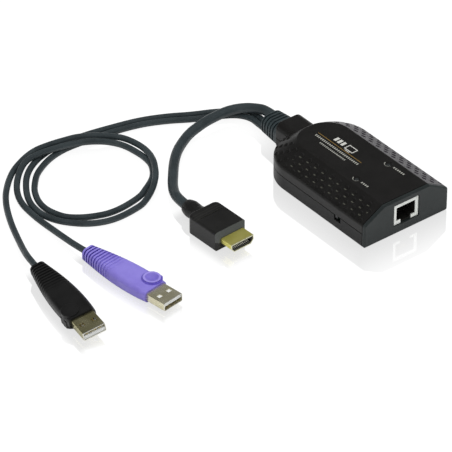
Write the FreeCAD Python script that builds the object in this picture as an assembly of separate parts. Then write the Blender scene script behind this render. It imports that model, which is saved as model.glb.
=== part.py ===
"""Adapter cable for a keyboard, video and mouse switch.

A moulded housing with a network jack in its front panel holds the circuit board.
Three captive leads leave a ribbed grommet at its back: one ends in a video plug,
two end in data plugs, one with a black grip and one with a purple grip.
Millimetres. +Z is up, +Y runs from the jack towards the leads, the origin lies on
the resting surface under the middle of the housing and its grommet.
"""
import FreeCAD, Part
import os
from math import atan2, cos, hypot, pi, radians, sin, sqrt, tan

Vector = FreeCAD.Vector
Rotation = FreeCAD.Rotation
Placement = FreeCAD.Placement
UP = Vector(0, 0, 1)
BACK = Vector(0, 1, 0)

# ---------------------------------------------------------------- housing
housing_width = 53.0
housing_height = 20.2
body_length = 82.8
shoulder_height = 13.2
back_corner_radius = 20.0
top_width = 28.4
top_setback = 7.6
top_corner_radius = 13.2
wall = 1.8
seam_height = 8.2
shoulder_rounding = 2.2
top_rounding = 1.0
bottom_rounding = 1.4
seam_groove_depth = 0.35
seam_groove_width = 0.4
lip_height = 1.2
lip_thickness = 0.8
lip_clearance = 0.1
lip_front_setback = 10.0

# neck at the back of the housing, and the grommet that it clamps
neck_width = 16.6
neck_top = 16.7
neck_bottom = 1.0
neck_length = 8.4
neck_corner_radius = 4.0
neck_overlap = 22.0
neck_back_wall = 2.0
neck_edge_rounding = 0.8
grommet_centre_height = 7.1
grommet_length = 13.8
grommet_front_width = 15.4
grommet_front_height = 12.0
grommet_back_width = 13.2
grommet_back_height = 11.0
grommet_corner_radius = 4.4
grommet_waist_width = 10.8
grommet_waist_height = 7.2
grommet_waist_radius = 2.5
grommet_flange_width = 12.6
grommet_flange_height = 7.8
grommet_flange_radius = 3.4
grommet_flange_thickness = 1.6
grommet_fit = 0.05
groove_count = 5
groove_pitch = 2.2
groove_width = 1.0
groove_depth = 0.9
groove_back_margin = 1.2
groove_floor_height = 4.2

# dimples moulded into both slopes
dimple_radius = 1.4
dimple_depth = 0.6
dimple_pitch = 5.75
dimple_rows = 4
dimple_first_row = 3.4
dimple_row_step = 3.1
dimple_front_margin = 4.9
dimple_neck_margin = 2.4

# front panel
panel_thickness = 1.6
panel_chamfer = 0.8
panel_rim_depth = 2.4
panel_rim_thickness = 1.2
panel_rim_clearance = 0.15
window_clearance = 0.25

# network jack
jack_width = 15.6
jack_height = 11.7
jack_depth = 17.0
jack_recess = 0.7
jack_sheet = 0.35
jack_face_thickness = 0.5
port_width = 11.9
port_height = 7.7
port_sill = 1.9
port_depth = 13.5
latch_width = 6.6
jack_fit = 0.05
contact_count = 8
contact_pitch = 1.02
contact_width = 0.45
contact_thickness = 0.35
contact_drop = 1.9
contact_reach = 9.0

# circuit board
board_thickness = 1.6
board_bottom = 3.6
board_side_gap = 1.2
board_front = 4.6
board_back_gap = 3.0
board_boss_clearance = 0.5
post_radius = 2.2
post_x = 12.0
post_front_setback = 10.4
post_back_setback = 21.0

# screws and their bosses
screw_front_inset = (7.1, 8.6)
screw_back_inset = (10.5, 16.8)
boss_radius = 3.1
screw_head_radius = 2.3
screw_head_height = 1.7
screw_shank_radius = 1.2
screw_length = 9.0
screw_fit = 0.05
screw_hole_clearance = 0.2
screw_recess_depth = 2.4
screw_slot_width = 0.7
screw_slot_depth = 0.8

# lamps
lamp_x = 10.0
lamp_y = 26.0
lamp_size = 1.8
lamp_height = 0.8
pipe_radius = 1.1
pipe_fit = 0.05
pipe_collar_radius = 1.8
pipe_collar_height = 1.0
pipe_gap = 0.2
pipe_top_recess = 0.6
lamp_bezel_radius = 2.0
lamp_bezel_depth = 0.7

# slide switch behind a notch in the left side
switch_y = 20.6
notch_length = 4.8
notch_bottom = 4.9
switch_length = 8.6
switch_depth = 3.8
switch_height = 3.5
switch_wall = 0.6
switch_wall_gap = 0.2
switch_travel = 2.0
lever_width = 1.6
lever_height = 1.6
lever_lift = 1.1
lever_recess = 0.4
slider_block = 3.0
slider_depth = 1.6
slider_clearance = 0.1

# pieces on the board: centre x, setback from the board's back edge, and size x, y, z
video_chip = (6.0, 31.0, 15.0, 15.0, 1.5)
network_chip = (-12.2, 41.5, 11.0, 11.0, 1.3)
memory_chip = (-12.0, 24.0, 8.0, 12.0, 1.1)
inductor = (17.3, 45.0, 5.8, 5.8, 3.0)
crystal = (3.2, 5.0, 1.2)
crystal_inset = 4.9
crystal_setback = 33.2
# the network pulse transformer stands behind the jack: centre x, y and size x, y, z
transformer = (0.0, 25.6, 12.6, 9.6, 4.0)
capacitor_radius = 2.0
capacitor_height = 4.2
capacitor_base = 0.7
capacitor_inset = 2.9
left_capacitors = (28.4,)
right_capacitors = (17.2, 21.8)
socket_setback = 13.4
socket_gap = 0.7
video_socket_size = (9.0, 5.0, 3.6)
data_socket_size = (4.4, 5.0, 3.0)
socket_wall = 0.6

# leads
video_cable_diameter = 5.2
data_cable_diameter = 3.2
video_inner_diameter = 3.2
data_inner_diameter = 1.8
inner_lead_straight = 1.2
board_edge_gap = 1.0

# data plugs
grip_length = 45.5
grip_stations = (0.0, 4.0, 14.0, 25.0, 35.0, 45.5)
grip_widths = (14.2, 14.9, 15.3, 14.0, 11.4, 8.0)
grip_heights = (6.4, 6.8, 7.4, 7.6, 7.4, 6.8)
grip_corner_share = 0.36
rib_count = 11
rib_pitch = 1.95
rib_width = 0.9
rib_depth = 0.8
rib_back_margin = 1.6
button_offset = 3.3
button_setback = 5.6
button_radius = 4.5
button_rise = 0.9
button_pad_rise = 0.3
button_foot_radius = 5.2
button_foot_rise = 0.25
button_dish_radius = 3.4
button_dish_depth = 1.1
plug_width = 12.0
plug_height = 4.5
plug_reach = 11.8
plug_sheet = 0.3
plug_corner_radius = 0.6
plug_seat_depth = 3.0
plug_window_width = 2.4
plug_window_length = 2.1
plug_window_setback = 6.0
plug_window_offset = 3.1
tongue_thickness = 1.9
tongue_recess = 0.5
tongue_fit = 0.05
strip_count = 4
strip_width = 1.2
strip_pitch = 2.25
strip_thickness = 0.15
strip_length = 7.6
strip_setback = 0.8

# video plug
video_grip_length = 22.5
video_grip_width = 19.0
video_grip_height = 10.8
video_nose_length = 1.6
video_nose_width = 16.2
video_nose_height = 5.6
video_edge_rounding = 1.4
video_back_rounding = 1.0
video_shoulder_radius = 3.2
video_neck_root_radius = 5.2
video_neck_waist_radius = 4.2
video_neck_bulge_radius = 4.5
video_neck_end_radius = 3.6
video_neck_length = 11.0
video_ridge_setback = 15.4
video_ridge_width = 0.8
video_ridge_depth = 0.3
video_plug_width = 13.9
video_plug_height = 4.45
video_plug_reach = 7.8
video_plug_sheet = 0.35
video_plug_side_height = 2.4
video_plug_foot_inset = 1.7
video_plug_corner_radius = 0.5
video_seat_depth = 3.0
video_core_recess = 0.5
video_core_fit = 0.05
video_slot_width = 11.2
video_slot_height = 1.9
video_slot_depth = 6.2
video_contact_width = 0.45
video_contact_thickness = 0.2
video_contact_pitch = 1.0
video_contact_count = 10
video_contact_setback = 0.6

# how the three plugs lie: turn about Z and roll about their own length, in degrees
video_plug_turn = 2.5
black_plug_turn = -8.5
black_plug_roll = 190.0
purple_plug_turn = 8.0
purple_plug_roll = 0.0

# ---------------------------------------------------------------- derived sizes
half_width = housing_width / 2
top_length = body_length - top_setback
neck_end = body_length + neck_length
overall_length = neck_end + grommet_length
housing_shift = Vector(0, -overall_length / 2, 0)
exit_y = overall_length / 2
floor_top = wall
board_top = board_bottom + board_thickness
board_half_width = half_width - wall - board_side_gap
board_back = body_length - wall - board_back_gap
slope_run = half_width - top_width / 2
slope_rise = housing_height - shoulder_height
slope_angle = atan2(slope_rise, slope_run)
slope_length = hypot(slope_run, slope_rise)
jack_front = jack_recess
jack_back = jack_recess + jack_depth
port_bottom = board_top + port_sill
screw_places = ((half_width - screw_front_inset[0], screw_front_inset[1]),
                (half_width - screw_back_inset[0], body_length - screw_back_inset[1]))
post_rows = (board_front + post_front_setback, board_back - post_back_setback)
socket_y = board_back - socket_setback
purple_socket_x = boss_radius + socket_gap + data_socket_size[0] / 2 - screw_places[1][0]
black_socket_x = purple_socket_x + data_socket_size[0] + socket_gap
video_socket_x = black_socket_x + (data_socket_size[0] + video_socket_size[0]) / 2 + socket_gap
capacitor_x = board_half_width - capacitor_inset
crystal_x = crystal_inset - board_half_width
port_top = port_bottom + port_height
side_wall_inside = half_width - wall


def box(x_low, x_high, y_low, y_high, z_low, z_high):
    corner = Vector(x_low, y_low, z_low)
    return Part.makeBox(x_high - x_low, y_high - y_low, z_high - z_low, corner)


def centred_box(x, y, z, x_size, y_size, z_size):
    return box(x - x_size / 2, x + x_size / 2, y - y_size / 2, y + y_size / 2, z, z + z_size)


def post(x, y, z_low, z_high, radius):
    return Part.makeCylinder(radius, z_high - z_low, Vector(x, y, z_low), UP)


def joined(shapes):
    shapes = list(shapes)
    first = shapes[0]
    if len(shapes) == 1:
        return first
    return first.fuse(shapes[1:]).removeSplitter()


def without(shape, tools):
    return shape.cut(Part.makeCompound(list(tools)))


def edges_where(shape, test):
    return [edge for edge in shape.Edges if test(edge)]


def level_edge(z):
    """Test for an edge that lies flat at one height."""
    def test(edge):
        extent = edge.BoundBox
        return abs(extent.ZMin - z) < 1e-4 and abs(extent.ZMax - z) < 1e-4
    return test


# ---------------------------------------------------------------- outlines
def plan_wire(half, front, back, radius, z):
    """Housing outline seen from above: square at the front, round at the back."""
    turn = back - radius
    diagonal = radius * (1 - sqrt(0.5))
    front_left = Vector(-half, front, z)
    front_right = Vector(half, front, z)
    side_right = Vector(half, turn, z)
    back_right = Vector(half - radius, back, z)
    back_left = Vector(radius - half, back, z)
    side_left = Vector(-half, turn, z)
    mid_right = Vector(half - diagonal, back - diagonal, z)
    mid_left = Vector(diagonal - half, back - diagonal, z)
    return Part.Wire([
        Part.LineSegment(front_left, front_right).toShape(),
        Part.LineSegment(front_right, side_right).toShape(),
        Part.Arc(side_right, mid_right, back_right).toShape(),
        Part.LineSegment(back_right, back_left).toShape(),
        Part.Arc(back_left, mid_left, side_left).toShape(),
        Part.LineSegment(side_left, front_left).toShape(),
    ])


def rounded_section(width, height, radius, y, centre=(0.0, 0.0)):
    """Rounded rectangle standing across the length, at one y."""
    half_x, half_z = width / 2, height / 2
    x_flat, z_flat = half_x - radius, half_z - radius
    bend = radius * sqrt(0.5)
    centre_x, centre_z = centre

    def at(x, z):
        return Vector(centre_x + x, y, centre_z + z)

    edges = []
    for x_sign, z_sign in ((1, 1), (-1, 1), (-1, -1), (1, -1)):
        on_side = at(x_sign * half_x, z_sign * z_flat)
        on_level = at(x_sign * x_flat, z_sign * half_z)
        middle = at(x_sign * (x_flat + bend), z_sign * (z_flat + bend))
        start, end = (on_side, on_level) if x_sign * z_sign > 0 else (on_level, on_side)
        edges.append(Part.Arc(start, middle, end).toShape())
    loop = []
    for index, arc in enumerate(edges):
        following = edges[(index + 1) % len(edges)]
        loop.append(arc)
        loop.append(Part.LineSegment(arc.Vertexes[-1].Point, following.Vertexes[0].Point).toShape())
    return Part.Wire(loop)


def rounded_bar(width, height, radius, y_low, y_high, centre=(0.0, 0.0)):
    section = Part.Face(rounded_section(width, height, radius, y_low, centre))
    return section.extrude(Vector(0, y_high - y_low, 0))


# ---------------------------------------------------------------- housing form
def body_form(inset, front):
    """Solid of the housing body, moved inwards by inset on every side."""
    shoulder = shoulder_height - inset * (1 - sin(slope_angle)) / cos(slope_angle)
    top_half = top_width / 2 - inset * (1 - cos(slope_angle)) / sin(slope_angle)
    top_back = top_length - inset * (1 - cos(slope_angle)) / sin(slope_angle)
    side = half_width - inset
    back = body_length - inset
    corner = back_corner_radius - inset
    top_corner = top_corner_radius - (top_width / 2 - top_half)
    bottom = Part.Face(plan_wire(side, front, back, corner, inset))
    sides = bottom.extrude(Vector(0, 0, shoulder - inset))
    slopes = Part.makeLoft([
        plan_wire(side, front, back, corner, shoulder),
        plan_wire(top_half, front, top_back, top_corner, housing_height - inset),
    ], True, True)
    return sides.fuse(slopes).removeSplitter()


def neck_form(inset, end):
    """Solid of the neck that carries the grommet, moved inwards by inset."""
    return rounded_bar(
        neck_width - 2 * inset, neck_top - neck_bottom - 2 * inset, neck_corner_radius - inset / 2,
        body_length - neck_overlap, end, (0.0, (neck_top + neck_bottom) / 2))


def rounded_body():
    """Outer form of the housing body with its moulded roundings."""
    body = body_form(0.0, 0.0)
    for height, radius in (
            (shoulder_height, shoulder_rounding),
            (housing_height, top_rounding),
            (0.0, bottom_rounding)):
        level = level_edge(height)
        chosen = edges_where(body, lambda edge: level(edge) and edge.BoundBox.YMax > 0.01)
        body = body.makeFillet(radius, chosen)
    return body


def rounded_neck():
    neck = neck_form(0.0, neck_end)
    rim = edges_where(neck, lambda edge: edge.BoundBox.YMin > neck_end - 1e-4)
    return neck.makeFillet(neck_edge_rounding, rim)


def slab(y_low, y_high, z_low=-1.0, z_high=housing_height + 1.0):
    return box(-housing_width, housing_width, y_low, y_high, z_low, z_high)


def shell_blank():
    """Outer form of both shells, hollowed, with the grooves that part them."""
    outer = rounded_body().fuse(rounded_neck()).removeSplitter()
    groove_core = body_form(seam_groove_depth, -1.0).fuse(neck_form(seam_groove_depth, neck_end + 1.0))
    seam_band = slab(-1.0, overall_length, seam_height - seam_groove_width, seam_height).cut(groove_core)
    panel_band = slab(panel_thickness, panel_thickness + seam_groove_width).cut(groove_core)
    cavity = body_form(wall, -1.0).fuse(neck_form(wall, neck_end - neck_back_wall))
    waist = rounded_bar(
        grommet_waist_width + 2 * grommet_fit, grommet_waist_height + 2 * grommet_fit,
        grommet_waist_radius + grommet_fit, neck_end - neck_back_wall - 1.0, neck_end + 1.0,
        (0.0, grommet_centre_height))
    return without(outer, [seam_band, panel_band, cavity, waist, slab(-1.0, panel_thickness)])


def lip_ring(outer_inset):
    """Ring inside the side walls just above the seam, open towards the front."""
    band = slab(lip_front_setback, body_length - neck_overlap / 2, seam_height, seam_height + lip_height)
    return body_form(outer_inset, -1.0).common(band)


def screw_points():
    return [(side * x, y) for x, y in screw_places for side in (-1, 1)]


def notch():
    return box(-half_width - 1.0, -side_wall_inside + 0.5, switch_y - notch_length / 2,
               switch_y + notch_length / 2, notch_bottom, seam_height + lip_height + 0.2)


def lower_shell(blank):
    shell = blank.common(slab(0.0, overall_length, -1.0, seam_height))
    lip = lip_ring(lip_thickness + lip_clearance).cut(body_form(wall, -1.0))
    parts = [shell, lip]
    for x, y in screw_points():
        parts.append(post(x, y, floor_top / 2, board_bottom, boss_radius))
        parts.append(post(x, y, floor_top / 2, seam_height - pipe_gap, boss_radius - board_boss_clearance))
    for y in post_rows:
        for x in (-post_x, post_x):
            parts.append(post(x, y, floor_top / 2, board_bottom, post_radius))
    holes = [notch()]
    for x, y in screw_points():
        holes.append(post(x, y, -1.0, screw_recess_depth, screw_head_radius + screw_hole_clearance))
        holes.append(post(x, y, -1.0, housing_height, screw_shank_radius + screw_hole_clearance))
    return without(joined(parts), holes)


def slope_point(depth, distance):
    """Point and outward normal on the right slope, depth down from its top edge.

    distance runs back along the side and then round the corner.
    """
    share = depth / slope_length
    inner_turn = top_length - top_corner_radius
    outer_turn = body_length - back_corner_radius
    turn = inner_turn + share * (outer_turn - inner_turn)
    radius = top_corner_radius + share * (back_corner_radius - top_corner_radius)
    side = top_width / 2 + share * slope_run
    height = housing_height - share * slope_rise
    if distance <= turn:
        return Vector(side, distance, height), Vector(sin(slope_angle), 0, cos(slope_angle))
    angle = (distance - turn) / radius
    run = slope_run + (body_length - top_length - slope_run) * sin(angle) ** 2
    tilt = atan2(slope_rise, run)
    point = Vector(side - radius + radius * cos(angle), turn + radius * sin(angle), height)
    return point, Vector(sin(tilt) * cos(angle), sin(tilt) * sin(angle), cos(tilt))


def dimples():
    """Balls that press the staggered rows of dimples into both slopes."""
    ball_radius = (dimple_radius ** 2 + dimple_depth ** 2) / (2 * dimple_depth)
    balls = []
    for row in range(dimple_rows):
        depth = dimple_first_row + row * dimple_row_step
        distance = dimple_front_margin + (dimple_pitch / 2 if row % 2 == 0 else 0.0)
        while True:
            point, normal = slope_point(depth, distance)
            if point.y > body_length or point.x < neck_width / 2 + dimple_neck_margin:
                break
            centre = point + normal * (ball_radius - dimple_depth)
            for side in (-1, 1):
                balls.append(Part.makeSphere(ball_radius, Vector(side * centre.x, centre.y, centre.z)))
            distance += dimple_pitch
    return balls


def upper_shell(blank):
    shell = blank.common(slab(0.0, overall_length, seam_height))
    shell = shell.cut(lip_ring(lip_thickness))
    inside = body_form(wall / 2, 0.0)
    parts = [shell]
    for x, y in screw_points():
        parts.append(post(x, y, seam_height, housing_height, boss_radius).common(inside))
    holes = []
    for x, y in screw_points():
        holes.append(post(x, y, 0.0, screw_recess_depth + screw_length - screw_head_height / 2,
                          screw_shank_radius + screw_fit))
    for x in (-lamp_x, lamp_x):
        holes.append(post(x, lamp_y, seam_height, housing_height + 1.0, pipe_radius + pipe_fit))
        holes.append(Part.makeCone(pipe_radius + pipe_fit, lamp_bezel_radius, lamp_bezel_depth,
                                   Vector(x, lamp_y, housing_height - lamp_bezel_depth), UP))
    return without(without(joined(parts), holes), dimples())


def front_panel():
    """Plate over the front end with a window for the jack and a locating rim."""
    plate = rounded_body().common(slab(-1.0, panel_thickness))
    face_edges = edges_where(plate, lambda edge: edge.BoundBox.YMax < 1e-4)
    plate = plate.makeChamfer(panel_chamfer, face_edges)
    rim_inset = wall + panel_rim_clearance
    rim = body_form(rim_inset, 0.0).cut(body_form(rim_inset + panel_rim_thickness, -1.0))
    rim = rim.common(slab(panel_thickness / 2, panel_thickness + panel_rim_depth))
    window = box(-jack_width / 2 - window_clearance, jack_width / 2 + window_clearance,
                 -1.0, panel_thickness + panel_rim_depth + 1.0,
                 board_top - window_clearance, board_top + jack_height + window_clearance)
    return without(joined([plate, rim]), [window])


def housing_screws():
    """Four pan-head screws driven up from below."""
    screws = []
    for x, y in screw_points():
        head_top = screw_recess_depth
        head = post(x, y, head_top - screw_head_height, head_top, screw_head_radius)
        shank = post(x, y, head_top, head_top + screw_length - screw_head_height, screw_shank_radius)
        cross = [centred_box(x, y, head_top - screw_head_height, length, width, screw_slot_depth)
                 for length, width in ((2 * screw_head_radius - 1.2, screw_slot_width),
                                       (screw_slot_width, 2 * screw_head_radius - 1.2))]
        screws.append(without(joined([head, shank]), cross))
    return Part.makeCompound(screws)


# ---------------------------------------------------------------- grommet
def grommet_section(distance_from_back):
    """Width and height of the boot at a distance from its back end."""
    share = distance_from_back / grommet_length
    width = grommet_back_width + share * (grommet_front_width - grommet_back_width)
    height = grommet_back_height + share * (grommet_front_height - grommet_back_height)
    return width, height


def cable_grommet():
    """Ribbed boot behind the neck, a waist through its wall and a flange inside."""
    centre = (0.0, grommet_centre_height)
    boot = Part.makeLoft([
        rounded_section(grommet_front_width, grommet_front_height, grommet_corner_radius, neck_end, centre),
        rounded_section(grommet_back_width, grommet_back_height, grommet_corner_radius,
                        overall_length, centre),
    ], True, True)
    back_rim = edges_where(boot, lambda edge: edge.BoundBox.YMin > overall_length - 1e-4)
    boot = boot.makeFillet(neck_edge_rounding, back_rim)
    grooves = []
    for index in range(groove_count):
        distance = groove_back_margin + index * groove_pitch
        y_high = overall_length - distance
        width, height = grommet_section(distance + groove_width / 2)
        ring = box(-width, width, y_high - groove_width, y_high, groove_floor_height,
                   grommet_centre_height + height)
        core = rounded_bar(width - 2 * groove_depth, height - 2 * groove_depth,
                           grommet_corner_radius - groove_depth,
                           y_high - groove_width - 1.0, y_high + 1.0, centre)
        grooves.append(ring.cut(core))
    waist_front = neck_end - neck_back_wall
    waist = rounded_bar(grommet_waist_width, grommet_waist_height, grommet_waist_radius,
                        waist_front, neck_end, centre)
    flange = rounded_bar(grommet_flange_width, grommet_flange_height, grommet_flange_radius,
                         waist_front - grommet_flange_thickness, waist_front, centre)
    return joined([without(boot, grooves), waist, flange])


# ---------------------------------------------------------------- network jack
def jack_shield():
    """Plated sheet can with the port opening in its face, open underneath."""
    half = jack_width / 2
    can = box(-half, half, jack_front, jack_back, board_top, board_top + jack_height)
    hollow = box(-half + jack_sheet, half - jack_sheet, jack_front + jack_face_thickness,
                 jack_back - jack_sheet, board_top - 1.0, board_top + jack_height - jack_sheet)
    port = box(-port_width / 2, port_width / 2, jack_front - 1.0, jack_front + 2.0, port_bottom, port_top)
    latch = box(-latch_width / 2, latch_width / 2, jack_front - 1.0, jack_front + 2.0,
                board_top - 1.0, port_bottom + 1.0)
    return without(can, [hollow, port, latch])


def jack_insert():
    """Moulded block inside the can, with the plug's well and its latch channel."""
    half = jack_width / 2 - jack_sheet - jack_fit
    front = jack_front + jack_face_thickness + jack_fit
    block = box(-half, half, front, jack_back - jack_sheet - jack_fit,
                board_top, board_top + jack_height - jack_sheet - jack_fit)
    well = box(-port_width / 2, port_width / 2, front - 1.0, jack_front + port_depth, port_bottom, port_top)
    latch = box(-latch_width / 2, latch_width / 2, front - 1.0, jack_front + port_depth / 2,
                board_top + port_sill / 3, port_bottom + 1.0)
    return without(block, [well, latch])


def jack_contacts():
    """Row of sprung wires that slope down from the roof of the well."""
    roof = port_top
    front = jack_front + port_depth - contact_reach
    back = jack_front + port_depth
    low = roof - contact_drop
    profile = [(back, roof - contact_thickness), (back, roof), (back - 1.2, roof),
               (front, low + contact_thickness), (front - 1.0, low + 2.2 * contact_thickness),
               (front - 1.0, low + 1.2 * contact_thickness), (front, low),
               (back - 1.2, roof - contact_thickness)]
    wires = []
    for index in range(contact_count):
        x = (index - (contact_count - 1) / 2) * contact_pitch - contact_width / 2
        points = [Vector(x, y, z) for y, z in profile]
        wires.append(Part.Face(Part.makePolygon(points + points[:1])).extrude(Vector(contact_width, 0, 0)))
    return Part.makeCompound(wires)


# ---------------------------------------------------------------- board
def main_board():
    board = box(-board_half_width, board_half_width, board_front, board_back, board_bottom, board_top)
    corner = body_form(wall + board_side_gap, -1.0)
    holes = [post(x, y, 0.0, housing_height, boss_radius - board_boss_clearance / 2)
             for x, y in screw_points()]
    return without(board.common(corner), holes)


def chip(place, corner_cut=0.4):
    """Flat moulded package with a marked corner."""
    x, setback, x_size, y_size, z_size = place
    y = board_back - setback
    body = centred_box(x, y, board_top, x_size, y_size, z_size)
    body = body.makeChamfer(corner_cut, edges_where(body, level_edge(board_top + z_size)))
    mark = post(x - x_size / 2 + 1.6, y - y_size / 2 + 1.6, board_top + z_size - 0.2,
                board_top + z_size + 1.0, 0.5)
    return body.cut(mark)


def rounded_can(place):
    x, y, x_size, y_size, z_size = place
    body = centred_box(x, y, board_top, x_size, y_size, z_size)
    uprights = edges_where(body, lambda edge: edge.BoundBox.ZLength > z_size / 2)
    return body.makeFillet(min(x_size, y_size) / 4, uprights)


def board_capacitors():
    cans = []
    places = [(-capacitor_x, y) for y in left_capacitors] + [(capacitor_x, y) for y in right_capacitors]
    for x, y in places:
        base = centred_box(x, y, board_top, 2 * capacitor_radius, 2 * capacitor_radius, capacitor_base)
        can = post(x, y, board_top + capacitor_base, board_top + capacitor_height, capacitor_radius)
        cans.append(joined([base, can]))
    return Part.makeCompound(cans)


def board_lamps():
    return Part.makeCompound([
        centred_box(x, lamp_y, board_top, lamp_size, lamp_size, lamp_height) for x in (-lamp_x, lamp_x)])


def light_pipe(x):
    """Clear rod from a lamp to the top face, held by a collar under the roof."""
    bottom = board_top + lamp_height + pipe_gap
    roof = housing_height - wall
    rod = post(x, lamp_y, bottom, housing_height - pipe_top_recess, pipe_radius)
    collar = post(x, lamp_y, roof - pipe_gap - pipe_collar_height, roof - pipe_gap, pipe_collar_radius)
    return joined([rod, collar])


def socket(x, y, size):
    """Open-topped header on the board that takes the end of a lead."""
    x_size, y_size, z_size = size
    shell = centred_box(x, y, board_top, x_size, y_size, z_size)
    well = box(x - x_size / 2 + socket_wall, x + x_size / 2 - socket_wall,
               y - y_size / 2 + socket_wall, y + y_size / 2 + 1.0,
               board_top + socket_wall, board_top + z_size + 1.0)
    return shell.cut(well)


# ---------------------------------------------------------------- slide switch
switch_outside = -side_wall_inside + switch_wall_gap
slider_rest_y = switch_y + switch_travel / 2
lever_bottom = board_top + lever_lift


def switch_body():
    """Small metal can on the board's edge with a slot for the lever."""
    can = box(switch_outside, switch_outside + switch_depth, switch_y - switch_length / 2,
              switch_y + switch_length / 2, board_top, board_top + switch_height)
    room = slider_block + switch_travel + 2 * slider_clearance
    track_inside = switch_outside + switch_wall
    track = box(track_inside, track_inside + slider_depth + 2 * slider_clearance,
                switch_y - room / 2, switch_y + room / 2,
                lever_bottom - slider_clearance, lever_bottom + lever_height + slider_clearance)
    gap = lever_width + switch_travel + 4 * slider_clearance
    slot = box(switch_outside - 1.0, switch_outside + switch_wall + slider_clearance,
               switch_y - gap / 2, switch_y + gap / 2,
               lever_bottom - slider_clearance, lever_bottom + lever_height + slider_clearance)
    return without(can, [track, slot])


def switch_slider():
    """Moving block with the lever that shows in the notch."""
    block_face = switch_outside + switch_wall + slider_clearance
    block = box(block_face, block_face + slider_depth, slider_rest_y - slider_block / 2,
                slider_rest_y + slider_block / 2, lever_bottom, lever_bottom + lever_height)
    lever = box(-half_width + lever_recess, block_face, slider_rest_y - lever_width / 2,
                slider_rest_y + lever_width / 2, lever_bottom, lever_bottom + lever_height)
    return joined([block, lever])


# ---------------------------------------------------------------- data plugs
def grip_size(setback):
    """Width and height of a data plug's grip at a distance behind its front face."""
    for index in range(len(grip_stations) - 1):
        start, end = grip_stations[index], grip_stations[index + 1]
        if setback <= end:
            share = (setback - start) / (end - start)
            width = grip_widths[index] + share * (grip_widths[index + 1] - grip_widths[index])
            height = grip_heights[index] + share * (grip_heights[index + 1] - grip_heights[index])
            return width, height
    return grip_widths[-1], grip_heights[-1]


def grip_wire(setback, inset=0.0):
    width, height = grip_size(setback)
    width -= 2 * inset
    height -= 2 * inset
    return rounded_section(width, height, height * grip_corner_share, setback - grip_length)


def data_plug_grip():
    """Tapered grip with fading ribs, a dished button above and a low pad below.

    Plug shapes lie with the cable entry at the origin and the nose towards -Y.
    """
    body = Part.makeLoft([grip_wire(setback) for setback in grip_stations], True, False)
    front = -grip_length
    ribs = []
    for index in range(rib_count):
        setback = grip_length - rib_back_margin - index * rib_pitch
        depth = rib_depth * (1 - index / rib_count)
        width, height = grip_size(setback)
        y = setback - grip_length
        ring = box(-width, width, y - rib_width / 2, y + rib_width / 2, -height, height)
        core = Part.Face(grip_wire(setback, depth)).extrude(Vector(0, 2 * rib_width, 0))
        core.translate(Vector(0, -rib_width, 0))
        ribs.append(ring.cut(core))
    body = without(body, ribs)
    half_height = grip_size(button_setback)[1] / 2
    axis = (button_offset, front + button_setback)
    top = half_height + button_rise
    foot = half_height + button_foot_rise
    pad = -half_height - button_pad_rise
    button = post(axis[0], axis[1], pad, top, button_radius)
    button = button.makeFillet(button_rise * 0.4, edges_where(button, level_edge(top)))
    button = button.makeFillet(button_pad_rise * 0.8, edges_where(button, level_edge(pad)))
    collar = post(axis[0], axis[1], 0.0, foot, button_foot_radius)
    body_limit = box(-plug_width, button_offset + button_radius, front, 0.0, -top, top)
    grip = joined([body, button, collar.common(body_limit)])
    dish_radius = (button_dish_radius ** 2 + button_dish_depth ** 2) / (2 * button_dish_depth)
    dish = Part.makeSphere(dish_radius, Vector(axis[0], axis[1], top + dish_radius - button_dish_depth))
    seat = rounded_bar(plug_width, plug_height, plug_corner_radius, front - 1.0, front + plug_seat_depth)
    return without(grip, [dish, seat])


def data_plug_shell():
    """Folded sheet shell with two windows in each broad face."""
    front = -grip_length - plug_reach
    back = -grip_length + plug_seat_depth
    outer = rounded_bar(plug_width, plug_height, plug_corner_radius, front, back)
    inner = rounded_bar(plug_width - 2 * plug_sheet, plug_height - 2 * plug_sheet,
                        plug_corner_radius - plug_sheet / 2, front - 1.0, back + 1.0)
    windows = [centred_box(side * plug_window_offset, front + plug_window_setback, -plug_height,
                           plug_window_width, plug_window_length, 2 * plug_height)
               for side in (-1, 1)]
    return without(outer, [inner] + windows)


def tongue_face():
    """Height of the tongue's open face; the tongue lies along the upper sheet."""
    return plug_height / 2 - plug_sheet - tongue_fit - tongue_thickness


def data_plug_core():
    """Insulator: a flat tongue along one face and a block that closes the back."""
    front = -grip_length - plug_reach + tongue_recess
    back = -grip_length + plug_seat_depth
    inset = plug_sheet + tongue_fit
    filling = rounded_bar(plug_width - 2 * inset, plug_height - 2 * inset,
                          plug_corner_radius - plug_sheet / 2, front, back)
    slot = box(-plug_width, plug_width, front - 1.0, -grip_length, -plug_height, tongue_face())
    return filling.cut(slot)


def data_plug_contacts():
    front = -grip_length - plug_reach + tongue_recess + strip_setback
    strips = []
    for index in range(strip_count):
        x = (index - (strip_count - 1) / 2) * strip_pitch
        strips.append(box(x - strip_width / 2, x + strip_width / 2, front, front + strip_length,
                          tongue_face() - strip_thickness, tongue_face()))
    return Part.makeCompound(strips)


# ---------------------------------------------------------------- video plug
def video_profile(inset, y):
    """Plug section: square shoulders above, slanted sides below."""
    half = video_plug_width / 2 - inset
    top = video_plug_height / 2 - inset
    knee = video_plug_height / 2 - video_plug_side_height
    foot_half = video_plug_width / 2 - video_plug_foot_inset - inset * 0.6
    corners = [Vector(-half, y, top), Vector(half, y, top), Vector(half, y, knee),
               Vector(foot_half, y, -top), Vector(-foot_half, y, -top), Vector(-half, y, knee)]
    return Part.makePolygon(corners + corners[:1])


def video_bar(inset, y_low, y_high):
    return Part.Face(video_profile(inset, y_low)).extrude(Vector(0, y_high - y_low, 0))


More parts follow.
